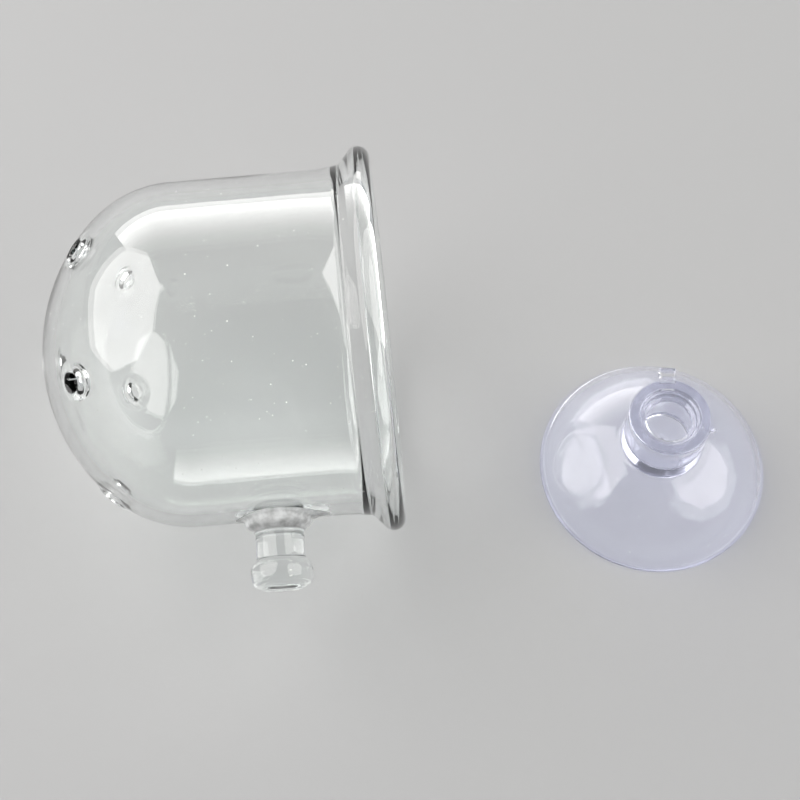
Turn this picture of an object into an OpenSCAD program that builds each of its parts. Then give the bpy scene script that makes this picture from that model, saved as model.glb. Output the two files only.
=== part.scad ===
// Clear glass bell with feed holes and a mounting peg, and the suction cup that clips on its peg.
// The bell lies on its side on the table and the cup stands beside it on its skirt.

/* [Bell] */
// Outside diameter of the glass wall
bell_d = 57.2; // [54:0.2:60]
// Length from the top of the dome to the mouth
bell_len = 56.7; // [52:0.1:62]
// Thickness of the glass
glass_t = 2; // [1.6:0.1:2.4]
// Depth of the domed end
dome_depth = 23.3; // [22:0.1:26]
// Radius of the shoulder where the dome meets the wall
shoulder_r = 19; // [17:0.5:20]

/* [Rim] */
// Outside diameter of the bead round the mouth
bead_d = 63.6; // [62:0.1:66]
// Thickness of the bead
bead_t = 3.9; // [3.4:0.1:4.6]
// Length over which the wall flares out to the bead
flare_len = 4.5; // [3:0.1:7]

/* [Feed holes] */
// Diameter of each hole through the dome
hole_d = 2.6; // [1.5:0.1:3.5]

/* [Peg] */
// Length of the solid peg from the wall
peg_len = 11.8; // [10:0.1:14]
// Diameter of the peg's shank
shank_d = 7.9; // [6:0.1:9]
// Diameter of the peg where it is welded to the wall
root_d = 12; // [10.5:0.1:14]
// Length of the weld's flare
root_len = 2.4; // [1.6:0.1:3]
// Diameter of the knob at the peg's end
knob_d = 10.1; // [9.5:0.1:12]
// Length of the knob
knob_len = 4.6; // [4:0.1:5]
// Place of the peg along the bell, from the top of the dome
peg_place = 36.9; // [34:0.1:44]
// How far the peg points below level as the bell lies
peg_dip = 12; // [0:1:20]

/* [Suction cup] */
// Diameter of the skirt's rim
skirt_d = 40; // [36:0.5:44]
// Height of the skirt up to the collar
skirt_h = 11.5; // [10:0.1:13]
// Height of the hollow under the skirt
hollow_h = 8.6; // [7:0.1:9]
// Thickness of the skirt's edge
edge_t = 0.7; // [0.5:0.1:1.2]
// Width of the flat ring that the skirt stands on
foot_w = 1; // [0.6:0.1:1.6]
// How far the skirt bulges above a straight cone
skirt_bulge = 1.6; // [1.2:0.1:2.2]

/* [Socket] */
// Outside diameter of the collar
collar_d = 14.1; // [13:0.1:16]
// Height of the collar above the skirt
collar_h = 9.8; // [9.2:0.1:12]
// Diameter of the socket's flared mouth
mouth_d = 10.4; // [9.5:0.1:11]
// Diameter inside the lip that grips the peg's shank
lip_d = 7.5; // [6:0.1:8]
// Diameter of the chamber that holds the knob
chamber_d = 8.8; // [8.5:0.1:10]

/* [Layout] */
// Distance from the cup's centre back to the middle of the bell's mouth
mouth_back = 51; // [50:0.5:80]
// Distance from the cup's centre sideways to the middle of the bell's mouth
mouth_side = 3.6; // [-10:0.1:10]
// How far the bell is turned on the table
bell_turn = 9.2; // [0:0.1:15]

/* [Hidden] */
$fn = 96;

// The holes were pierced by hand, so their turns about the bell's axis and their tilts from it are not quite even.
hole_turns = [12, 66, 150, 215, 286];
hole_tilts = [46, 48, 43, 41, 46];

// Bell: radii and stations along its axis, measured from the top of the dome.
bell_r = bell_d / 2;
bead_r = bead_t / 2;
bead_ring_r = bead_d / 2 - bead_r;
bead_station = bell_len - bead_r;
flare_start = bead_station - flare_len;
neck_r = bell_r - shoulder_r;
crown_r = (neck_r * neck_r + dome_depth * dome_depth - shoulder_r * shoulder_r)
    / (2 * (dome_depth - shoulder_r));
// Angle from the axis at which the crown's arc becomes the shoulder's arc.
join_angle = atan2(neck_r, crown_r - dome_depth);
// The bell rests on its bead and on its shoulder, which pitches the mouth up.
lean_run = bead_ring_r - neck_r;
lean_rise = bead_station - dome_depth;
bell_pitch = acos((shoulder_r - bead_r) / norm([lean_run, lean_rise])) - atan2(lean_rise, lean_run);
// Half the angle of the bead's section that the wall runs into.
weld_half_angle = asin(glass_t / bead_t);
// How far the wall has spread out half way along its flare.
flare_out = 0.35;

// Suction cup: heights above the table and above the skirt.
skirt_r = skirt_d / 2;
collar_r = collar_d / 2;
floor_h = 1.2;
chamber_top = 6.2;
lip_bottom = 6.8;
lip_top = 8.2;
edge_round = 0.35;
// Stub of the moulding gate, and a nub of flash, both a little below the collar's top.
gate_w = 2.7;
gate_l = 2.8;
gate_h = 1.8;
gate_turn = 95;
flash_w = 1;
flash_l = 1.2;
flash_turn = -7;
mark_drop = 0.7;

// The part's middle in plan, so that its box is centred on the origin.
axis_dir = [cos(bell_turn) * cos(bell_pitch), sin(bell_turn) * cos(bell_pitch), sin(bell_pitch)];
mouth_mid = [-mouth_back, mouth_side, bead_ring_r * cos(bell_pitch) + bead_r];
dome_top = mouth_mid - axis_dir * bead_station;
low_x = (dome_top + axis_dir * crown_r)[0] - crown_r;
high_x = skirt_r;
high_y = mouth_mid[1] + bead_ring_r * sqrt(1 - axis_dir[1] * axis_dir[1]) + bead_r;
knob_round = 1.6;
side_dir = [sin(bell_turn), -cos(bell_turn), 0];
down_dir = [sin(bell_pitch) * cos(bell_turn), sin(bell_pitch) * sin(bell_turn), -cos(bell_pitch)];
peg_dir = cos(peg_dip) * side_dir + sin(peg_dip) * down_dir;
knob_mid = dome_top + axis_dir * peg_place + peg_dir * (bell_r + peg_len - knob_round);
low_y = knob_mid[1] - (knob_d / 2 - knob_round) * sqrt(1 - peg_dir[1] * peg_dir[1]) - knob_round;
plan_mid = [(low_x + high_x) / 2, (low_y + high_y) / 2, 0];

// Points of an arc about [x, y], from one angle to another, in equal steps.
function arc(x, y, r, from, to, steps) =
    [for (i = [0:steps]) let (a = from + (to - from) * i / steps) [x + r * cos(a), y + r * sin(a)]];

// Points of an arc from p to q that bulges to the left of the way from p to q.
function bulge(p, q, height, steps) =
    let (
        way = q - p,
        span = norm(way),
        left = [-way[1], way[0]] / span,
        r = span * span / (8 * height) + height / 2,
        mid = (p + q) / 2 - left * (r - height),
        half = asin(span / 2 / r),
        facing = atan2(left[1], left[0])
    )
    arc(mid[0], mid[1], r, facing + half, facing - half, steps);

// Outline of the dome and shoulder at a depth below the outside face, as [radius, station] points.
function dome_line(depth, first_r) =
    let (r = crown_r - depth, start = asin(first_r / r))
    concat(
        [for (i = [0:8]) let (a = start + (join_angle - start) * i / 8) [r * sin(a), crown_r - r * cos(a)]],
        arc(neck_r, dome_depth, shoulder_r - depth, (join_angle - 90) * 0.8, 0, 4)
    );

// Where the wall's faces meet the bead: side 1 is the outside face, side -1 the inside face.
function weld_point(side) =
    let (a = -135 + side * weld_half_angle)
    [bead_ring_r + bead_r * cos(a), bead_station + bead_r * sin(a)];

// Places its children, drawn along +Z from the dome's top, as the bell lies on the table.
module lay_bell() {
    translate(mouth_mid - plan_mid)
        rotate([0, 0, bell_turn])
            rotate([0, 90 - bell_pitch, 0])
                translate([0, 0, -bead_station])
                    children();
}

// Places its children, drawn along +Z from the bell's axis, along the peg.
module lay_peg() {
    lay_bell()
        translate([0, 0, peg_place])
            rotate([0, 0, peg_dip - 90])
                rotate([0, 90, 0])
                    children();
}

// Glass tube with a domed end, a flared mouth and six pierced holes.
module bell_shell() {
    outside = concat(
        dome_line(0, hole_d / 2),
        [[bell_r, flare_start]],
        [[bell_r + flare_out / 2, (flare_start + weld_point(1)[1]) / 2]],
        [weld_point(1)]
    );
    inside = concat(
        dome_line(glass_t, hole_d / 2),
        [[bell_r - glass_t, flare_start]],
        [[bell_r - glass_t + flare_out, (flare_start + weld_point(-1)[1]) / 2]],
        [weld_point(-1)]
    );
    color("lightcyan", 0.35)
        lay_bell()
            difference() {
                rotate_extrude()
                    polygon(concat(outside, [for (i = [len(inside) - 1:-1:0]) inside[i]]));
                for (i = [0:len(hole_turns) - 1])
                    rotate([0, 0, hole_turns[i]])
                        translate([0, 0, crown_r])
                            rotate([0, 180 - hole_tilts[i], 0])
                                translate([0, 0, crown_r - 2 * glass_t])
                                    cylinder(d = hole_d, h = 3 * glass_t, $fn = 32);
            }
}

// Thick fire-polished bead round the mouth.
module rim_bead() {
    color("lightcyan", 0.5)
        lay_bell()
            rotate_extrude()
                polygon(arc(bead_ring_r, bead_station, bead_r, weld_half_angle - 135, 225 - weld_half_angle, 24));
}

// Solid glass peg: a welded root, a shank and an upset knob.
module mounting_peg() {
    shank_r = shank_d / 2;
    knob_r = knob_d / 2;
    root_r = root_d / 2;
    end = bell_r + peg_len;
    root_end = bell_r + root_len;
    knob_start = end - knob_len;
    root_curve = [for (i = [0:6]) let (a = 90 * i / 6)
        [root_r - (root_r - shank_r) * sin(a), root_end - root_len * cos(a)]];
    color("lightcyan", 0.6)
        difference() {
            lay_peg()
                rotate_extrude()
                    polygon(concat(
                        [[0, bell_r - glass_t / 2], [root_r, bell_r - glass_t / 2]],
                        root_curve,
                        [[shank_r, knob_start]],
                        arc(knob_r - knob_round, knob_start + knob_round, knob_round, -45, 0, 3),
                        arc(knob_r - knob_round, end - knob_round, knob_round, 0, 90, 6),
                        [[0, end]]
                    ));
            lay_bell()
                cylinder(r = bell_r, h = bell_len - bead_t);
        }
}

// Soft skirt that sticks to the aquarium's wall.
module suction_skirt() {
    foot_r = skirt_r - edge_t / 2;
    hollow_r = foot_r - foot_w;
    roof_r = 6;
    hollow_bulge = skirt_bulge + 0.4;
    color("lavender", 0.5)
        translate(-plan_mid)
            rotate_extrude()
                polygon(concat(
                    [[0, skirt_h], [0, hollow_h]],
                    bulge([roof_r, hollow_h], [hollow_r, 0], hollow_bulge, 8),
                    [[foot_r, 0]],
                    [[skirt_r, edge_t / 2]],
                    bulge([skirt_r, edge_t], [collar_r, skirt_h], -skirt_bulge, 8)
                ));
}

// Block that stands out of the collar's side, rooted in its wall.
module moulding_mark(turn, reach, width, height) {
    root = 1;
    rotate([0, 0, turn])
        translate([collar_r - root, -width / 2, collar_h - mark_drop - height])
            cube([root + reach, width, height]);
}

// Collar with a flared mouth, a gripping lip and a chamber for the knob, and its moulding marks.
module peg_socket() {
    color("lavender", 0.7)
        translate([0, 0, skirt_h] - plan_mid) {
            difference() {
                union() {
                    rotate_extrude()
                        polygon([
                            [0, 0],
                            [collar_r, 0],
                            [collar_r, collar_h - edge_round],
                            [collar_r - edge_round, collar_h],
                            [0, collar_h]
                        ]);
                    moulding_mark(gate_turn, gate_l, gate_w, gate_h);
                    moulding_mark(flash_turn, flash_l, flash_w, flash_w);
                }
                rotate_extrude()
                    polygon([
                        [0, floor_h],
                        [chamber_d / 2, floor_h],
                        [chamber_d / 2, chamber_top],
                        [lip_d / 2, lip_bottom],
                        [lip_d / 2, lip_top],
                        [mouth_d / 2, collar_h],
                        [mouth_d / 2, collar_h + 1],
                        [0, collar_h + 1]
                    ]);
            }
        }
}

bell_shell();
rim_bead();
mounting_peg();
suction_skirt();
peg_socket();
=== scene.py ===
"""Looks of the glass bell and its suction cup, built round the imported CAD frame.

Lengths are millimetres in each piece's own frame until its mesh is made. The bell is drawn along
+Z from the top of its dome, and a height along its axis is called a station.
"""

import bmesh
import bpy
import math
from mathutils import Matrix, Vector


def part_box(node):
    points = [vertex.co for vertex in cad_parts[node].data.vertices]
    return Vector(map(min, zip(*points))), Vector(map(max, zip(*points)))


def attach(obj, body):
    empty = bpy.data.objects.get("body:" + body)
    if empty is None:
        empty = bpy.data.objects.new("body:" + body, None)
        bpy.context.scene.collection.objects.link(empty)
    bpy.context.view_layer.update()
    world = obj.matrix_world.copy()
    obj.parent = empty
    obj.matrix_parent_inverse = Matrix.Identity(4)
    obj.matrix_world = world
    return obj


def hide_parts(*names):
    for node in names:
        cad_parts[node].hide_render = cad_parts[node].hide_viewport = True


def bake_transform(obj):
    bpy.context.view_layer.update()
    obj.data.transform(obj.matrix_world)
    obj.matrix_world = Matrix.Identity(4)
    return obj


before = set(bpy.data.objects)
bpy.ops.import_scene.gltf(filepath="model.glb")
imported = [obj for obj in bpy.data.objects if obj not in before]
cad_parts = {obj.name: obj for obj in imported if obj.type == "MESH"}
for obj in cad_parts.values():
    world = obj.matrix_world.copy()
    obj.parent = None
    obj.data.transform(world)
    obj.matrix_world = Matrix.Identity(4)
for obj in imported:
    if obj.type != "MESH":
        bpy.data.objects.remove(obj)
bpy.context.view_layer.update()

MM = 0.001
FULL_TURN = 2 * math.pi
# Kinds of face on a glass piece, as indexes of its materials.
OUTSIDE = 0
FUSED = 1

# The bell's driving sizes, as in the CAD model.
WALL_R = 28.6
GLASS_T = 2.0
BELL_LEN = 56.7
DOME_DEPTH = 23.3
SHOULDER_R = 19.0
RIM_R = 31.8
BEAD_R = 1.95
BEAD_RING_R = RIM_R - BEAD_R
BEAD_STATION = BELL_LEN - BEAD_R
NECK_R = WALL_R - SHOULDER_R
CROWN_R = (NECK_R**2 + DOME_DEPTH**2 - SHOULDER_R**2) / (2 * (DOME_DEPTH - SHOULDER_R))
JOIN_ANGLE = math.atan2(NECK_R, CROWN_R - DOME_DEPTH)
BELL_TURN = math.radians(9.2)
HOLE_R = 1.3
# The five holes round the dome: turns about its axis and tilts from it, in degrees.
HOLE_TURNS = (12, 66, 150, 215, 286)
HOLE_TILTS = (46, 48, 43, 41, 46)
# The peg's station, its dip under level in degrees, and its length from the wall.
PEG_PLACE = 36.9
PEG_DIP = 12
PEG_LEN = 11.8
SHANK_R = 3.95
KNOB_R = 5.05
KNOB_LEN = 4.6
ROOT_R = 6.0

# The suction cup's driving sizes.
SKIRT_R = 20.0
SKIRT_H = 11.5
HOLLOW_H = 8.6
EDGE_T = 0.7
COLLAR_R = 7.05
COLLAR_TOP = SKIRT_H + 9.8
MOUTH_R = 5.2
LIP_R = 3.75
CHAMBER_R = 4.4


def rest_pitch():
    """The bell's pitch as it rests on its bead and its shoulder."""
    run = BEAD_RING_R - NECK_R
    rise = BEAD_STATION - DOME_DEPTH
    return math.acos((SHOULDER_R - BEAD_R) / math.hypot(run, rise)) - math.atan2(rise, run)


def middle(name):
    """The middle of a CAD node's box at rest."""
    low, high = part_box(name)
    return (low + high) / 2


def bell_place():
    """Carries the bell's points, in millimetres, to the frame, in metres."""
    tip_over = Matrix.Rotation(math.pi / 2 - rest_pitch(), 4, "Y")
    turn = Matrix.Rotation(BELL_TURN, 4, "Z") @ tip_over
    start = Matrix.Translation((0, 0, -BEAD_STATION))
    return Matrix.Translation(middle("rim_bead")) @ Matrix.Scale(MM, 4) @ turn @ start


def cup_place():
    """Carries points drawn round +Z from the table to the cup's place."""
    centre = middle("suction_skirt")
    return Matrix.Translation((centre.x, centre.y, 0)) @ Matrix.Scale(MM, 4)


# ---------------------------------------------------------------- curves

# Ends of two stretches nearer than this are the same point.
SAME_POINT = 1e-4


def arc(x, y, r, start, end, steps):
    """Points of an arc about (x, y), angles in degrees."""
    turns = [math.radians(start + (end - start) * i / steps) for i in range(steps + 1)]
    return [(x + r * math.cos(a), y + r * math.sin(a)) for a in turns]


def bezier(a, b, c, d, steps):
    """Points of a cubic curve from a to d."""
    points = []
    for i in range(steps + 1):
        t = i / steps
        weights = ((1 - t) ** 3, 3 * t * (1 - t) ** 2, 3 * t * t * (1 - t), t**3)
        pulls = list(zip(weights, (a, b, c, d)))
        points.append(tuple(sum(w * p[k] for w, p in pulls) for k in (0, 1)))
    return points


def line(a, b, steps):
    """Points of a straight line from a to b."""
    return [tuple(a[k] + (b[k] - a[k]) * i / steps for k in (0, 1)) for i in range(steps + 1)]


def bulge(p, q, height, steps):
    """Points of an arc from p to q that bulges to the left of the way from p to q."""
    p, q = Vector(p), Vector(q)
    way = q - p
    left = Vector((-way.y, way.x)).normalized()
    r = way.length**2 / (8 * height) + height / 2
    mid = (p + q) / 2 - left * (r - height)
    half = math.degrees(math.asin(way.length / 2 / r))
    facing = math.degrees(math.atan2(left.y, left.x))
    return arc(mid.x, mid.y, r, facing + half, facing - half, steps)


def joined(*stretches):
    """One list of points from several, without the doubled ones where they meet."""
    points = list(stretches[0])
    for stretch in stretches[1:]:
        near = math.dist(points[-1], stretch[0]) < SAME_POINT
        points.extend(stretch[1:] if near else stretch)
    return points


# ---------------------------------------------------------------- meshes


class Body:
    """Vertices and faces of one closed mesh. A face's kind is the index of its material."""

    def __init__(self):
        self.points = []
        self.faces = []
        self.kinds = []

    def row(self, points):
        """Adds vertices and returns their numbers."""
        first = len(self.points)
        self.points.extend(tuple(p) for p in points)
        return list(range(first, len(self.points)))

    def band(self, a, b, kind=OUTSIDE):
        """Quads between two closed rows of the same length."""
        for i in range(len(a)):
            j = (i + 1) % len(a)
            self.faces.append((a[i], a[j], b[j], b[i]))
            self.kinds.append(kind)

    def bands(self, rows, kind=OUTSIDE):
        """Quads between each row and the next."""
        for a, b in zip(rows, rows[1:]):
            self.band(a, b, kind)

    def cap(self, row, centre, kind=OUTSIDE):
        """Triangles from a closed row to one new vertex at its centre."""
        mid = self.row([centre])[0]
        for i in range(len(row)):
            self.faces.append((row[i], row[(i + 1) % len(row)], mid))
            self.kinds.append(kind)

    def make(self, name, materials, place, bend=None):
        """The object, its loose points dropped and its faces all turned outwards."""
        mesh = bpy.data.meshes.new(name)
        if bend:
            self.points = [bend(p) for p in self.points]
        used = sorted({i for face in self.faces for i in face})
        number = {old: new for new, old in enumerate(used)}
        faces = [[number[i] for i in face] for face in self.faces]
        mesh.from_pydata([self.points[i] for i in used], [], faces)
        for material in materials:
            mesh.materials.append(material)
        mesh.polygons.foreach_set("material_index", self.kinds)
        mesh.transform(place)
        turn_outwards(mesh)
        for polygon in mesh.polygons:
            polygon.use_smooth = True
        obj = bpy.data.objects.new(name, mesh)
        bpy.context.scene.collection.objects.link(obj)
        return obj


def turn_outwards(mesh):
    """Turns the faces of a closed mesh so that they all look out of it."""
    bm = bmesh.new()
    bm.from_mesh(mesh)
    bmesh.ops.recalc_face_normals(bm, faces=bm.faces)
    if bm.calc_volume(signed=True) < 0:
        bmesh.ops.reverse_faces(bm, faces=bm.faces)
    bm.to_mesh(mesh)
    bm.free()


def ring(r, height, count):
    """A level circle of points."""
    turns = [FULL_TURN * i / count for i in range(count)]
    return [(r * math.cos(a), r * math.sin(a), height) for a in turns]


# ---------------------------------------------------------------- the bell

# Steps in the meshes: columns round the bell, and cells along a side of the square block of
# quads that a hole or the peg's foot takes out of the skin.
COLUMNS = 192
HOLE_CELLS = 12
PEG_CELLS = 20
# Section of a pierced hole's swollen lip, from the outside skin to the inside skin, as
# (distance from the hole's axis, depth under the outside skin).
HOLE_LIP = (
    (3.5, 0.0),
    (3.1, -0.05),
    (2.7, -0.17),
    (2.35, -0.3),
    (2.0, -0.36),
    (1.7, -0.27),
    (1.48, -0.02),
    (1.35, 0.4),
    (HOLE_R, 1.0),
    (1.35, 1.6),
    (1.48, 2.02),
    (1.7, 2.25),
    (2.0, 2.32),
    (2.4, 2.22),
    (2.8, 2.08),
    (3.3, 2.0),
)
# The wall flares from FLARE_START, and the bead's piece starts at CUT_STATION.
FLARE_START = 46.3
FLARE_OUT = 0.42
CUT_STATION = 51.2
# The hand-finished mouth isn't quite square to the tube.
MOUTH_SHIFT = 0.17
MOUTH_TILT = math.radians(1.0)
# Heights above the wall at which the peg's weld has lost its uneven outline and the wall's curve.
WELD_TAIL_H = 0.9
WELD_H = 2.6


def on_glass(point, depth):
    """The nearest point of the bell's skin at a depth under its outside, and the normal there."""
    x, y, station = point
    r = math.hypot(x, y)
    if station >= DOME_DEPTH:
        centre_r, centre_s, size = 0.0, station, WALL_R
    elif math.atan2(r, CROWN_R - station) < JOIN_ANGLE:
        centre_r, centre_s, size = 0.0, CROWN_R, CROWN_R
    else:
        centre_r, centre_s, size = NECK_R, DOME_DEPTH, SHOULDER_R
    away = Vector((r - centre_r, station - centre_s)).normalized()
    new_r = centre_r + away.x * (size - depth)
    new_s = centre_s + away.y * (size - depth)
    turn = Vector((x, y)).normalized()
    normal = Vector((turn.x * away.x, turn.y * away.x, away.y))
    return Vector((turn.x * new_r, turn.y * new_r, new_s)), normal


def flare(station):
    """How far the wall has spread outwards at a station."""
    return FLARE_OUT * max(0.0, (station - FLARE_START) / (CUT_STATION - FLARE_START)) ** 2


def tilt_mouth(point):
    """Leans the flare and the bead, more and more from the flare's start to the cut."""
    x, y, station = point
    share = min(1.0, max(0.0, (station - FLARE_START) / (CUT_STATION - FLARE_START)))
    share = share * share * (3 - 2 * share)
    return x, y, station + share * (MOUTH_SHIFT - MOUTH_TILT * y)


def skin_line(depth):
    """The bell's section from the pole's hole to the cut, at a depth, as (radius, station).

    The number of points doesn't depend on the depth.
    """
    start = math.degrees(math.asin(HOLE_LIP[0][0] / (CROWN_R - depth)))
    join = math.degrees(JOIN_ANGLE)
    crown = arc(0, CROWN_R, CROWN_R - depth, start - 90, join - 90, 34)
    shoulder = arc(NECK_R, DOME_DEPTH, SHOULDER_R - depth, join - 90, 0, 18)
    wall = line((WALL_R - depth, DOME_DEPTH), (WALL_R - depth, CUT_STATION), 30)
    return joined(crown, shoulder, [(r + flare(s), s) for r, s in wall])


def block(rows, point, cells):
    """The corner of the block of cells whose middle is nearest to point."""
    gaps = [(Vector(place) - point).length for row in rows for place in row]
    nearest = gaps.index(min(gaps))
    return nearest // COLUMNS - cells // 2, nearest % COLUMNS - cells // 2


def edge_of(corner, cells):
    """The block's edge, as (row, column) pairs once round."""
    row, column = corner
    steps = [(0, k) for k in range(cells)]
    steps += [(k, cells) for k in range(cells)]
    steps += [(cells, cells - k) for k in range(cells)]
    steps += [(cells - k, 0) for k in range(cells)]
    return [(row + r, (column + c) % COLUMNS) for r, c in steps]


def skin(body, depth, blocks):
    """One skin of the bell with its blocks left open. Returns its rows of vertex numbers."""
    rows = [body.row(ring(r, s, COLUMNS)) for r, s in skin_line(depth)]
    left_open = set()
    for (row, column), cells in blocks:
        for r in range(cells):
            left_open.update((row + r, (column + c) % COLUMNS) for c in range(cells))
    for i in range(len(rows) - 1):
        for j in range(COLUMNS):
            if (i, j) not in left_open:
                k = (j + 1) % COLUMNS
                body.faces.append((rows[i][j], rows[i][k], rows[i + 1][k], rows[i + 1][j]))
                body.kinds.append(OUTSIDE)
    return rows


def round_rows(body, edge, centre, normal, line_points, spread=None):
    """Rows of vertices round an axis, one for each (distance, depth), in step with the edge."""
    first = Vector(body.points[edge[0]]) - centre
    across = (first - normal * first.dot(normal)).normalized()
    along = normal.cross(across)
    second = Vector(body.points[edge[1]]) - centre
    sense = 1 if second.dot(along) > 0 else -1
    rows = []
    for distance, depth in line_points:
        row = []
        for i in range(len(edge)):
            a = sense * FULL_TURN * i / len(edge)
            way = math.cos(a) * across + math.sin(a) * along
            place = centre + distance * way * (spread(way) if spread else 1.0)
            row.append(on_glass(place, depth)[0])
        rows.append(body.row(row))
    return rows


def eased(body, edge, target, steps, depth):
    """Rows that turn the block's square edge into the round row target, lying on the skin."""
    rows = [edge]
    for step in range(1, steps):
        t = step / steps
        ends = [(Vector(body.points[a]), Vector(body.points[b])) for a, b in zip(edge, target)]
        rows.append(body.row([on_glass(p.lerp(q, t), depth)[0] for p, q in ends]))
    rows.append(target)
    return rows


def pierce(body, outer, inner, corner, centre, normal):
    """A round hole through both skins with a swollen, fire-polished lip."""
    outer_edge = [outer[r][c] for r, c in edge_of(corner, HOLE_CELLS)]
    inner_edge = [inner[r][c] for r, c in edge_of(corner, HOLE_CELLS)]
    rows = round_rows(body, outer_edge, centre, normal, HOLE_LIP)
    body.bands(eased(body, outer_edge, rows[0], 3, 0.0))
    body.bands(rows)
    body.bands(eased(body, inner_edge, rows[-1], 3, GLASS_T))


def spot(turn, tilt):
    """A point of the dome's outside and its normal, by turn about the axis and tilt from it."""
    a, t = math.radians(turn), math.radians(tilt)
    r = CROWN_R * math.sin(t)
    return on_glass((r * math.cos(a), r * math.sin(a), CROWN_R * (1 - math.cos(t))), 0)


def peg_axis():
    """The point of the wall under the peg's middle, and the peg's direction."""
    a = math.radians(PEG_DIP - 90)
    normal = Vector((math.cos(a), math.sin(a), 0))
    return normal * WALL_R + Vector((0, 0, PEG_PLACE)), normal


def weld_spread(way):
    """How far the peg's weld runs out along the wall, as a share: furthest towards the rim."""
    towards_rim = max(0.0, way.z) ** 6
    towards_dome = max(0.0, -way.z) ** 8
    return 1 + 0.4 * towards_rim + 0.17 * towards_dome + 0.03 * math.sin(5 * way.x + 3 * way.y)


def peg_foot(body, edge):
    """The row where the peg's weld meets the wall."""
    centre, normal = peg_axis()
    return round_rows(body, edge, centre, normal, [(ROOT_R, 0.0)], weld_spread)[0]


def peg_disc(body, foot):
    """The round face between the wall and the peg, on the wall's curve."""
    centre, _ = peg_axis()
    rows = [foot]
    for share in (0.9, 0.6, 0.3):
        row = [centre.lerp(Vector(body.points[i]), share) for i in foot]
        rows.append(body.row([on_glass(p, 0)[0] for p in row]))
    body.bands(rows, FUSED)
    body.cap(rows[-1], centre, FUSED)


def outer_rows():
    """The places of the outside skin's vertices, row by row."""
    return [ring(r, s, COLUMNS) for r, s in skin_line(0)]


def shell_blocks():
    """Where the holes and the peg interrupt the skin."""
    rows = outer_rows()
    holes = []
    for turn, tilt in zip(HOLE_TURNS, HOLE_TILTS):
        centre, normal = spot(turn, tilt)
        holes.append((block(rows, centre, HOLE_CELLS), centre, normal))
    return holes, block(rows, peg_axis()[0], PEG_CELLS)


def build_shell(glass, fused):
    """The tube and dome, its six holes, and the two faces fused to the bead and to the peg."""
    body = Body()
    holes, peg_corner = shell_blocks()
    hole_blocks = [(corner, HOLE_CELLS) for corner, _, _ in holes]
    outer = skin(body, 0.0, hole_blocks + [(peg_corner, PEG_CELLS)])
    inner = skin(body, GLASS_T, hole_blocks)
    for corner, centre, normal in holes:
        pierce(body, outer, inner, corner, centre, normal)
    pole_rows = [outer[0]]
    for distance, depth in HOLE_LIP[1:-1]:
        station = CROWN_R - math.sqrt((CROWN_R - depth) ** 2 - distance**2)
        pole_rows.append(body.row(ring(distance, station, COLUMNS)))
    body.bands(pole_rows + [inner[0]])
    edge = [outer[r][c] for r, c in edge_of(peg_corner, PEG_CELLS)]
    foot = peg_foot(body, edge)
    body.bands(eased(body, edge, foot, 3, 0.0))
    peg_disc(body, foot)
    body.band(outer[-1], inner[-1], FUSED)
    return body.make("bell_shell_glass", [glass, fused], bell_place(), tilt_mouth)


def bead_line():
    """The bead's section, from the cut on the outside, round the bead, to the cut on the inside."""
    bead = arc(BEAD_RING_R, BEAD_STATION, BEAD_R, -46, 165, 40)
    outside, inside = bead[0], bead[-1]
    spread = WALL_R + FLARE_OUT
    slope = 2 * FLARE_OUT / (CUT_STATION - FLARE_START)
    ramp = (spread + 0.6, CUT_STATION + 0.75)
    outer_bend = bezier(
        (spread, CUT_STATION),
        (spread + 0.35 * slope, CUT_STATION + 0.35),
        (ramp[0] - 0.3, ramp[1] - 0.27),
        ramp,
        9,
    )
    inner_bend = bezier(
        inside,
        (inside[0] - 0.35, inside[1] - 1.4),
        (spread - GLASS_T + 1.4 * slope, CUT_STATION + 1.4),
        (spread - GLASS_T, CUT_STATION),
        16,
    )
    return joined(outer_bend, line(ramp, outside, 8), bead, inner_bend)


def build_bead(glass, fused):
    """The flare's end and the thick round bead, from the cut outwards."""
    body = Body()
    rows = [body.row(ring(r, s, COLUMNS)) for r, s in bead_line()]
    body.bands(rows)
    body.band(rows[-1], rows[0], FUSED)
    return body.make("rim_bead_glass", [glass, fused], bell_place(), tilt_mouth)


def peg_line():
    """The peg's section from the edge of its weld to near its axis, as (radius, height)."""
    weld_top = (ROOT_R - 0.62, 0.8)
    waist = (SHANK_R + 0.2, 2.3)
    shank_start = (SHANK_R, 3.2)
    knob_start = PEG_LEN - KNOB_LEN
    shank_end = (SHANK_R + 0.05, knob_start - 0.5)
    knob_side = (KNOB_R, knob_start + 1.7)
    knob_turn = (KNOB_R - 0.02, PEG_LEN - 2.1)
    knob_end = (KNOB_R - 2.4, PEG_LEN - 0.05)
    return joined(
        bezier((ROOT_R, 0.0), (ROOT_R - 0.5, 0.05), (ROOT_R - 0.6, 0.4), weld_top, 7),
        bezier(weld_top, (ROOT_R - 0.66, 1.7), (SHANK_R + 0.55, 1.75), waist, 9),
        bezier(waist, (SHANK_R + 0.05, 2.55), (SHANK_R, 2.8), shank_start, 5),
        line(shank_start, shank_end, 6),
        bezier(shank_end, (SHANK_R + 0.15, knob_start + 0.2), (KNOB_R, knob_start + 0.1), knob_side, 12),
        line(knob_side, knob_turn, 3),
        bezier(knob_turn, (KNOB_R - 0.05, PEG_LEN - 0.7), (KNOB_R - 1.1, PEG_LEN - 0.15), knob_end, 12),
        line(knob_end, (0.4, PEG_LEN), 4),
    )


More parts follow.
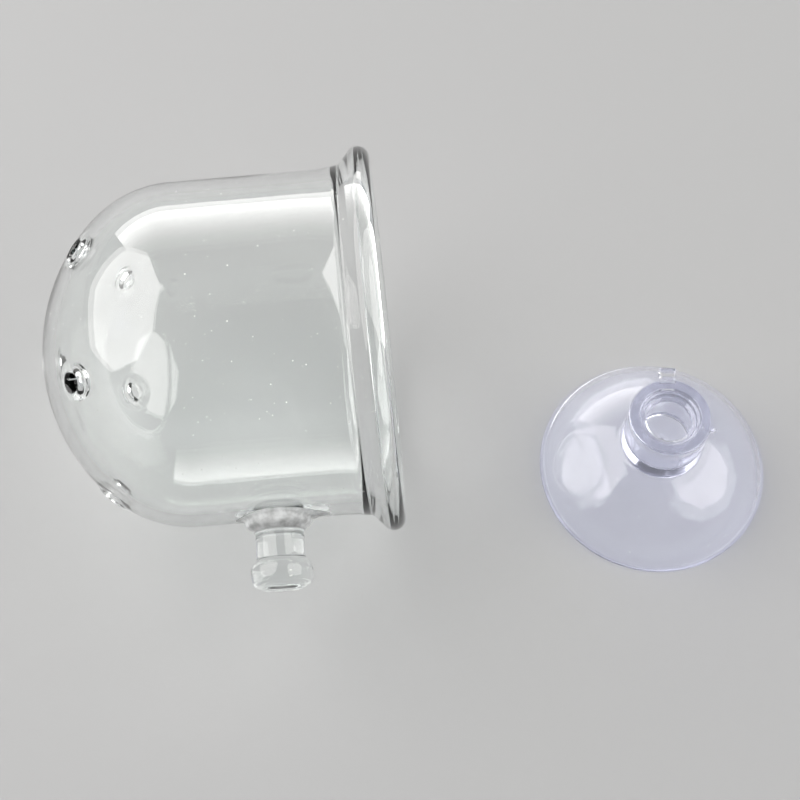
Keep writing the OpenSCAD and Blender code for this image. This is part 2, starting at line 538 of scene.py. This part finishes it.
def build_peg(glass, fused):
    """The solid peg: its weld on the wall, its waisted shank and its upset knob."""
    body = Body()
    corner = shell_blocks()[1]
    grid = [body.row(row) for row in outer_rows()]
    edge = [grid[r][c] for r, c in edge_of(corner, PEG_CELLS)]
    foot = peg_foot(body, edge)
    peg_disc(body, foot)
    centre, normal = peg_axis()
    rings = [foot]
    start = [Vector(body.points[i]) for i in foot]
    for distance, height in peg_line()[1:]:
        fade = max(0.0, 1 - height / WELD_H) ** 2
        tail = max(0.0, 1 - height / WELD_TAIL_H) ** 2
        row = []
        for p in start:
            away = p - centre
            rise = away.dot(normal)
            flat = away - normal * rise
            reach = distance + (flat.length - ROOT_R) * tail
            up = height + fade * rise * distance / ROOT_R
            row.append(centre + flat.normalized() * reach + normal * up)
        rings.append(body.row(row))
    body.bands(rings)
    body.cap(rings[-1], centre + normal * PEG_LEN)
    return body.make("mounting_peg_glass", [glass, fused], bell_place())


# ---------------------------------------------------------------- the suction cup

CUP_COLUMNS = 160
# The gate's stub and the flash's nub on the collar: turn about the cup's axis, cells to each side
# of it, lowest and highest point, length, and sizes as (share of the length, share of the foot).
GATE = {
    "turn": 95,
    "half_cells": 5,
    "low": COLLAR_TOP - 2.5,
    "high": COLLAR_TOP - 0.7,
    "length": 2.8,
    "sizes": ((0.04, 0.96), (0.3, 0.86), (0.5, 0.9), (0.68, 1.0), (0.82, 1.02), (0.92, 0.94), (0.98, 0.76)),
}
FLASH = {
    "turn": -7,
    "half_cells": 2,
    "low": COLLAR_TOP - 2.9,
    "high": COLLAR_TOP - 0.5,
    "length": 1.2,
    "sizes": ((0.07, 0.95), (0.35, 0.6), (0.6, 0.34), (0.75, 0.36), (0.9, 0.36), (0.98, 0.22)),
}


def socket_line():
    """The socket's inside, from the nub on its floor, up the chamber and lip, to its mouth."""
    floor = SKIRT_H + 1.2
    nub_edge = (1.0, floor)
    chamber_top = (CHAMBER_R, SKIRT_H + 5.9)
    lip_low = (LIP_R, SKIRT_H + 7.0)
    lip_high = (LIP_R, SKIRT_H + 8.0)
    ledge = (4.45, SKIRT_H + 8.6)
    step = (4.62, SKIRT_H + 9.0)
    mouth = (MOUTH_R, COLLAR_TOP - 0.25)
    return joined(
        bezier((0.12, floor + 0.9), (0.6, floor + 0.85), (0.4, floor + 0.05), nub_edge, 8),
        line(nub_edge, (CHAMBER_R - 0.5, floor), 5),
        arc(CHAMBER_R - 0.5, floor + 0.5, 0.5, -90, 0, 5),
        line((CHAMBER_R, floor + 0.5), chamber_top, 10),
        bezier(chamber_top, (CHAMBER_R, SKIRT_H + 6.5), (LIP_R, SKIRT_H + 6.3), lip_low, 8),
        line(lip_low, lip_high, 3),
        bezier(lip_high, (LIP_R, SKIRT_H + 8.4), (LIP_R + 0.5, SKIRT_H + 8.3), ledge, 5),
        bezier(ledge, (4.55, SKIRT_H + 8.65), (4.6, SKIRT_H + 8.75), step, 4),
        bezier(step, (4.65, SKIRT_H + 9.15), (MOUTH_R - 0.15, SKIRT_H + 9.1), mouth, 6),
        arc(MOUTH_R + 0.25, COLLAR_TOP - 0.25, 0.25, 180, 90, 4),
    )


def collar_line():
    """The collar's top and side, down to the fillet on the skirt."""
    side_foot = (COLLAR_R, SKIRT_H + 0.45)
    fillet_end = (COLLAR_R + 0.4, SKIRT_H - 0.18)
    return joined(
        line((MOUTH_R + 0.25, COLLAR_TOP), (COLLAR_R - 0.35, COLLAR_TOP), 4),
        arc(COLLAR_R - 0.35, COLLAR_TOP - 0.35, 0.35, 90, 0, 5),
        line((COLLAR_R, COLLAR_TOP - 0.35), side_foot, 22),
        bezier(side_foot, (COLLAR_R, SKIRT_H + 0.12), (COLLAR_R + 0.1, SKIRT_H - 0.03), fillet_end, 6),
    )


def skirt_line():
    """The skirt's top, its rounded edge, the flat ring it stands on, and the hollow's roof."""
    foot_r = SKIRT_R - EDGE_T / 2
    hollow_r = foot_r - 1.0
    roof_r = 6.0
    top = bulge((SKIRT_R, EDGE_T), (COLLAR_R, SKIRT_H), -1.6, 40)[::-1]
    return joined(
        top[2:-1],
        arc(SKIRT_R - 0.35, EDGE_T - 0.2, 0.35, 50, 0, 4),
        arc(SKIRT_R - 0.35, 0.35, 0.35, 0, -90, 5),
        line((foot_r, 0.0), (hollow_r, 0.0), 4),
        bulge((roof_r, HOLLOW_H), (hollow_r, 0.0), 2.0, 36)[::-1],
        line((roof_r, HOLLOW_H), (0.3, HOLLOW_H), 8),
    )


def pull_tab(body, section, rows, turn, half_cells, low, high, length, sizes):
    """Draws a block of the collar's side out into a small moulding mark."""
    middle_cell = round(turn / 360 * CUP_COLUMNS)
    side = [i for i, (r, _) in enumerate(section[:-1]) if abs(r - COLLAR_R) < 0.01]
    inside = [i for i in side if low <= section[i][1] <= high]
    top, bottom = inside[0], inside[-1]
    columns = [(middle_cell + k) % CUP_COLUMNS for k in range(-half_cells, half_cells + 1)]
    pairs = list(zip(columns, columns[1:]))
    dropped = {(rows[i][c], rows[i][d]) for i in range(top, bottom) for c, d in pairs}
    kept = [(f, k) for f, k in zip(body.faces, body.kinds) if (f[0], f[1]) not in dropped]
    body.faces, body.kinds = [f for f, _ in kept], [k for _, k in kept]
    loop = [(top, c) for c in columns]
    loop += [(i, columns[-1]) for i in range(top + 1, bottom + 1)]
    loop += [(bottom, c) for c in columns[-2::-1]]
    loop += [(i, columns[0]) for i in range(bottom - 1, top, -1)]
    foot = [rows[i][c] for i, c in loop]
    start = [Vector(body.points[i]) for i in foot]
    centre = sum(start, Vector()) / len(start)
    away = Vector((centre.x, centre.y, 0)).normalized()
    flat = [p - away * (p - centre).dot(away) for p in start]
    rings = [foot]
    for share, size in sizes:
        reach = away * share * length
        rings.append(body.row([centre + (p - centre) * size + reach for p in flat]))
    body.bands(rings)
    body.cap(rings[-1], centre + away * length)


def build_cup(vinyl):
    """Skirt and collar as the one soft moulding that they are."""
    body = Body()
    section = joined(socket_line(), collar_line(), skirt_line())
    rows = [body.row(ring(r, z, CUP_COLUMNS)) for r, z in section]
    body.bands(rows)
    body.cap(rows[0], (0, 0, section[0][1]))
    body.cap(rows[-1], (0, 0, section[-1][1]))
    pull_tab(body, section, rows, **GATE)
    pull_tab(body, section, rows, **FLASH)
    return body.make("suction_cup_vinyl", [vinyl], cup_place())


# ---------------------------------------------------------------- materials

# For each clear material: its refraction, the tint and density of its body, and its shadow's tint.
GLASS_IOR = 1.47
GLASS_TINT = (0.85, 0.88, 0.877, 1)
GLASS_DENSITY = 55.0
GLASS_SHADOW = (0.97, 0.975, 0.975, 1)
VINYL_IOR = 1.53
VINYL_TINT = (0.8, 0.81, 0.89, 1)
VINYL_DENSITY = 110.0
VINYL_SHADOW = (0.88, 0.89, 0.94, 1)
# Shares of the vinyl's surface that are haze, and of that haze that light passes through.
VINYL_HAZE = 0.035
HAZE_THROUGH = 0.5
# Share of the weld's white, part frosting and part painted highlight, that light passes through.
WELD_THROUGH = 0.3
# The white in the peg's weld, part frosted glass and part painted highlight, fades out between these
# heights above the wall.
FROST_AND_HIGHLIGHT_FADE_START = 1.8
FROST_AND_HIGHLIGHT_FADE_END = 3.0


def new_material(name):
    """An empty node material and its tree."""
    material = bpy.data.materials.new(name)
    material.use_nodes = True
    tree = material.node_tree
    tree.nodes.clear()
    return material, tree


def node(tree, kind, **values):
    """A node with its sockets and settings given by name."""
    made = tree.nodes.new(kind)
    for key, value in values.items():
        name = key.replace("_", " ")
        if name in made.inputs:
            made.inputs[name].default_value = value
        else:
            setattr(made, key, value)
    return made


def noise(tree, place, **values):
    """A noise pattern in the piece's own space."""
    made = node(tree, "ShaderNodeTexNoise", **values)
    tree.links.new(place.outputs["Object"], made.inputs["Vector"])
    return made.outputs["Fac"]


def mapped(tree, value, **span):
    """A value carried from one range to another."""
    made = node(tree, "ShaderNodeMapRange", **span)
    tree.links.new(value, made.inputs["Value"])
    return made.outputs["Result"]


def eased_map(tree, value, **span):
    """A value carried from one range to another, level at both ends."""
    return mapped(tree, value, interpolation_type="SMOOTHSTEP", **span)


def bumped(tree, height, strength, distance):
    """The normal of a surface with a height pattern on it."""
    made = node(tree, "ShaderNodeBump", Strength=strength, Distance=distance)
    tree.links.new(height, made.inputs["Height"])
    return made.outputs["Normal"]


def mixed(tree, share, first, second):
    """Two shaders mixed. The second's share is a number or another node's socket."""
    made = node(tree, "ShaderNodeMixShader")
    if isinstance(share, float):
        made.inputs["Fac"].default_value = share
    else:
        tree.links.new(share, made.inputs["Fac"])
    tree.links.new(first, made.inputs[1])
    tree.links.new(second, made.inputs[2])
    return made.outputs[0]


def finish_surface(tree, shader, tint=None, density=0.0):
    """Links the surface, and for a clear body the light that its thickness takes up."""
    output = node(tree, "ShaderNodeOutputMaterial")
    tree.links.new(shader, output.inputs["Surface"])
    if tint:
        body = node(tree, "ShaderNodeVolumeAbsorption", Color=tint, Density=density)
        tree.links.new(body.outputs[0], output.inputs["Volume"])


def let_lamps_through(tree, shader, tint):
    """Lamps reach what lies behind the clear material."""
    path = node(tree, "ShaderNodeLightPath")
    clear = node(tree, "ShaderNodeBsdfTransparent", Color=tint)
    return mixed(tree, path.outputs["Is Shadow Ray"], shader, clear.outputs[0])


def clear_shader(tree, colour, index, normal, roughness):
    """The refracting surface of a clear body."""
    made = node(tree, "ShaderNodeBsdfPrincipled", Base_Color=colour, IOR=index, Transmission_Weight=1.0)
    tree.links.new(normal, made.inputs["Normal"])
    tree.links.new(roughness, made.inputs["Roughness"])
    return made.outputs[0]


def cloud(tree, colour, through):
    """Matt haze that lets a share of the light through."""
    front = node(tree, "ShaderNodeBsdfDiffuse", Color=colour)
    back = node(tree, "ShaderNodeBsdfTranslucent", Color=colour)
    return mixed(tree, through, front.outputs[0], back.outputs[0])


def specks(tree, scale, share):
    """A mask of small round specks, in a share of the cells of a pattern."""
    place = node(tree, "ShaderNodeTexCoord")
    cells = node(tree, "ShaderNodeTexVoronoi", Scale=scale)
    tree.links.new(place.outputs["Object"], cells.inputs["Vector"])
    split = node(tree, "ShaderNodeSeparateColor")
    tree.links.new(cells.outputs["Color"], split.inputs["Color"])
    size = mapped(tree, split.outputs["Red"], From_Min=1 - share, From_Max=1.0, To_Min=0.03, To_Max=0.13)
    inside = node(tree, "ShaderNodeMath", operation="LESS_THAN")
    tree.links.new(cells.outputs["Distance"], inside.inputs[0])
    tree.links.new(size, inside.inputs[1])
    return inside.outputs[0]


def dusty(tree, shader, scale, share, colour):
    """The surface with a sprinkling of dust on it."""
    dust = node(tree, "ShaderNodeBsdfDiffuse", Color=colour)
    return mixed(tree, specks(tree, scale, share), shader, dust.outputs[0])


def height_on_peg(tree, place):
    """How far a point of the bell stands off the wall, along the peg, in metres."""
    foot, way = peg_axis()
    foot, tip = bell_place() @ foot, bell_place() @ (foot + way)
    from_foot = node(tree, "ShaderNodeVectorMath", operation="SUBTRACT")
    tree.links.new(place.outputs["Object"], from_foot.inputs[0])
    from_foot.inputs[1].default_value = foot
    height = node(tree, "ShaderNodeVectorMath", operation="DOT_PRODUCT")
    tree.links.new(from_foot.outputs[0], height.inputs[0])
    height.inputs[1].default_value = (tip - foot).normalized()
    return height.outputs["Value"]


def weld_frost_and_painted_highlight(tree, place):
    """A mask of white streaks in the peg's weld, part frosted glass and part painted highlight, fading out
    up its shank.
    """
    streaks = noise(tree, place, Scale=420.0, Detail=3.0, Roughness=0.6)
    share = mapped(tree, streaks, From_Min=0.34, From_Max=0.6, To_Min=0.42, To_Max=0.8)
    low = eased_map(
        tree,
        height_on_peg(tree, place),
        From_Min=FROST_AND_HIGHLIGHT_FADE_START * MM,
        From_Max=FROST_AND_HIGHLIGHT_FADE_END * MM,
        To_Min=1.0,
        To_Max=0.0,
    )
    mask = node(tree, "ShaderNodeMath", operation="MULTIPLY")
    tree.links.new(share, mask.inputs[0])
    tree.links.new(low, mask.inputs[1])
    return mask.outputs[0]


def glass_material(name, with_weld_frost_and_painted_highlight=False):
    """Clear fire-polished borosilicate glass: faint waves, a trace of smears, and dust.

    The peg's glass is white in its weld: part frosted glass, part painted highlight.
    """
    material, tree = new_material(name)
    place = node(tree, "ShaderNodeTexCoord")
    waves = noise(tree, place, Scale=60.0, Detail=1.0, Roughness=0.4)
    smears = noise(tree, place, Scale=45.0, Detail=4.0, Roughness=0.6)
    rough = mapped(tree, smears, From_Min=0.5, From_Max=0.85, To_Min=0.0, To_Max=0.09)
    normal = bumped(tree, waves, 0.12, 0.0006)
    surface = clear_shader(tree, (0.99, 1.0, 0.995, 1), GLASS_IOR, normal, rough)
    surface = dusty(tree, surface, 950.0, 0.12, (0.8, 0.8, 0.78, 1))
    if with_weld_frost_and_painted_highlight:
        # White matt streaks in the weld: part frosted glass, part painted highlight standing in for the
        # weld's shine.
        frost_and_painted_highlight = cloud(tree, (0.95, 0.96, 0.96, 1), WELD_THROUGH)
        surface = mixed(tree, weld_frost_and_painted_highlight(tree, place), surface, frost_and_painted_highlight)
    surface = let_lamps_through(tree, surface, GLASS_SHADOW)
    finish_surface(tree, surface, GLASS_TINT, GLASS_DENSITY)
    return material


def fused_material():
    """The inner face where two pieces of glass are melted together: nothing shows there."""
    material, tree = new_material("fused_glass")
    clear = node(tree, "ShaderNodeBsdfTransparent", Color=(1, 1, 1, 1))
    finish_surface(tree, clear.outputs[0])
    return material


def vinyl_material():
    """Clear soft vinyl with a lavender tint, slightly hazy, with dust and moulding ripples."""
    material, tree = new_material("clear_vinyl")
    place = node(tree, "ShaderNodeTexCoord")
    ripples = noise(tree, place, Scale=220.0, Detail=3.0, Roughness=0.5)
    rough = mapped(tree, ripples, From_Min=0.3, From_Max=0.7, To_Min=0.05, To_Max=0.16)
    normal = bumped(tree, ripples, 0.15, 0.0003)
    surface = clear_shader(tree, (0.96, 0.963, 0.99, 1), VINYL_IOR, normal, rough)
    haze = cloud(tree, (0.88, 0.89, 0.95, 1), HAZE_THROUGH)
    surface = mixed(tree, VINYL_HAZE, surface, haze)
    surface = dusty(tree, surface, 1100.0, 0.08, (0.85, 0.85, 0.85, 1))
    surface = let_lamps_through(tree, surface, VINYL_SHADOW)
    finish_surface(tree, surface, VINYL_TINT, VINYL_DENSITY)
    return material


def floor_material():
    """Pale matt paint that fades into the studio's haze away from the middle."""
    material, tree = new_material("pale_floor")
    place = node(tree, "ShaderNodeTexCoord")
    grain = noise(tree, place, Scale=900.0, Detail=3.0)
    paint = node(tree, "ShaderNodeBsdfPrincipled", Base_Color=(0.33, 0.332, 0.334, 1), Roughness=0.7)
    tree.links.new(bumped(tree, grain, 0.05, 0.0002), paint.inputs["Normal"])
    away = node(tree, "ShaderNodeVectorMath", operation="LENGTH")
    tree.links.new(place.outputs["Object"], away.inputs[0])
    fade = eased_map(tree, away.outputs["Value"], From_Min=FADE_START, From_Max=FADE_END)
    haze = node(tree, "ShaderNodeBsdfTransparent", Color=(1, 1, 1, 1))
    finish_surface(tree, mixed(tree, fade, paint.outputs[0], haze.outputs[0]))
    return material


# ---------------------------------------------------------------- stage

# The camera's place and its look-at point, which is given from the cup's centre on the table.
CAMERA_DISTANCE = 368.9
CAMERA_LIFT = math.radians(64.12)
CAMERA_ROLL = math.radians(5.89)
LOOK_FROM_CUP = Vector((-45.86, 8.21, 0.0))
LENS = 92.06
SENSOR_W = 36
# The floor's half width, how far it lies under the table's level, and where it fades, in metres.
FLOOR_HALF = 0.9
FLOOR_DROP = 0.00005
FADE_START = 0.3
FADE_END = 0.85
# Strength of the surroundings near the horizon and overhead, and the heights of that change.
WORLD_LOW = 0.56
WORLD_HIGH = 0.11
WORLD_LOW_Z = 0.12
WORLD_HIGH_Z = 0.5
BOUNCES = 64


def place_camera():
    """Looks down at the table. Returns the point that the camera looks at."""
    centre = middle("suction_skirt")
    target = Vector((centre.x, centre.y, 0)) + LOOK_FROM_CUP * MM
    back = Vector((0, -math.cos(CAMERA_LIFT), math.sin(CAMERA_LIFT)))
    up = Vector((0, math.sin(CAMERA_LIFT), math.cos(CAMERA_LIFT)))
    right = Vector((1, 0, 0))
    rolled_right = right * math.cos(CAMERA_ROLL) + up * math.sin(CAMERA_ROLL)
    rolled_up = up * math.cos(CAMERA_ROLL) - right * math.sin(CAMERA_ROLL)
    data = bpy.data.cameras.new("camera")
    data.lens = LENS
    data.sensor_width = SENSOR_W
    data.clip_start = 0.01
    camera = bpy.data.objects.new("camera", data)
    turn = Matrix((rolled_right, rolled_up, back)).transposed().to_4x4()
    camera.matrix_world = Matrix.Translation(target + back * CAMERA_DISTANCE * MM) @ turn
    bpy.context.scene.collection.objects.link(camera)
    bpy.context.scene.camera = camera
    return target


def softbox_material(name, radius, low_strength, high_strength):
    """A soft light's glow, which changes from its lower edge to its upper edge."""
    material, tree = new_material(name)
    place = node(tree, "ShaderNodeTexCoord")
    split = node(tree, "ShaderNodeSeparateXYZ")
    tree.links.new(place.outputs["Object"], split.inputs[0])
    strength = eased_map(
        tree,
        split.outputs["Y"],
        From_Min=-0.7 * radius,
        From_Max=0.7 * radius,
        To_Min=low_strength,
        To_Max=high_strength,
    )
    lamp = node(tree, "ShaderNodeEmission", Color=(1.0, 0.985, 0.97, 1))
    tree.links.new(strength, lamp.inputs["Strength"])
    finish_surface(tree, lamp.outputs[0])
    return material


def softbox(name, target, turn, lift, distance, radius, sides, strengths, widen=1.0):
    """A flat many-sided soft light that faces the target. The camera doesn't see it.

    The turn and the lift are in degrees, and the distance and radius in metres.
    """
    a, b = math.radians(turn), math.radians(lift)
    away = Vector((math.cos(a) * math.cos(b), math.sin(a) * math.cos(b), math.sin(b)))
    turns = [FULL_TURN * (i + 0.5) / sides for i in range(sides)]
    mesh = bpy.data.meshes.new(name)
    corners = [(widen * radius * math.cos(t), radius * math.sin(t), 0) for t in turns]
    mesh.from_pydata(corners, [], [tuple(range(sides))])
    mesh.materials.append(softbox_material(name, radius, *strengths))
    panel = bpy.data.objects.new(name, mesh)
    panel.rotation_euler = away.to_track_quat("Z", "Y").to_euler()
    panel.location = target + away * distance
    panel.visible_camera = False
    bpy.context.scene.collection.objects.link(panel)


def studio_world():
    """Pale near the horizon, as a studio's walls are, and dark overhead."""
    world = bpy.data.worlds.new("studio")
    world.use_nodes = True
    tree = world.node_tree
    tree.nodes.clear()
    place = node(tree, "ShaderNodeTexCoord")
    split = node(tree, "ShaderNodeSeparateXYZ")
    tree.links.new(place.outputs["Generated"], split.inputs[0])
    strength = eased_map(
        tree,
        split.outputs["Z"],
        From_Min=WORLD_LOW_Z,
        From_Max=WORLD_HIGH_Z,
        To_Min=WORLD_LOW,
        To_Max=WORLD_HIGH,
    )
    light = node(tree, "ShaderNodeBackground", Color=(0.96, 0.98, 1.0, 1))
    tree.links.new(strength, light.inputs["Strength"])
    output = node(tree, "ShaderNodeOutputWorld")
    tree.links.new(light.outputs[0], output.inputs["Surface"])
    bpy.context.scene.world = world


def lay_floor():
    """One large pale square, just under the table's level."""
    mesh = bpy.data.meshes.new("floor")
    signs = ((-1, -1), (1, -1), (1, 1), (-1, 1))
    corners = [(x * FLOOR_HALF, y * FLOOR_HALF, 0) for x, y in signs]
    mesh.from_pydata(corners, [], [(0, 1, 2, 3)])
    mesh.materials.append(floor_material())
    floor = bpy.data.objects.new("floor", mesh)
    floor.location = (0, 0, -FLOOR_DROP)
    bpy.context.scene.collection.objects.link(floor)


def build_stage(target):
    """The floor, three soft lights, the studio round them, and bounces enough for clear pieces."""
    lay_floor()
    softbox("softbox_left", target, 174, 37.5, 0.75, 0.53, 8, (3.8, 4.2))
    softbox("softbox_right", target, 2, 45, 0.75, 0.42, 8, (3.6, 3.6))
    softbox("softbox_back", target, 110, 24, 0.9, 0.46, 4, (5.2, 0.5), widen=1.35)
    studio_world()
    scene = bpy.context.scene
    scene.view_settings.view_transform = "Standard"
    scene.cycles.max_bounces = BOUNCES
    scene.cycles.transmission_bounces = BOUNCES
    scene.cycles.transparent_max_bounces = BOUNCES


# ---------------------------------------------------------------- everything together

look_at = place_camera()
build_stage(look_at)

clear_glass = glass_material("clear_glass")
# The peg's glass carries the weld's white: part frosting, part painted highlight.
peg_glass = glass_material("peg_glass", with_weld_frost_and_painted_highlight=True)
fused_glass = fused_material()
clear_vinyl = vinyl_material()

glass_pieces = (
    (build_shell, clear_glass, "bell_shell"),
    (build_bead, clear_glass, "rim_bead"),
    (build_peg, peg_glass, "mounting_peg"),
)
for build, glass, cad_name in glass_pieces:
    piece = build(glass, fused_glass)
    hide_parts(cad_name)
    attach(piece, "bell")

cup_piece = build_cup(clear_vinyl)
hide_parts("suction_skirt", "peg_socket")
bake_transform(cup_piece)
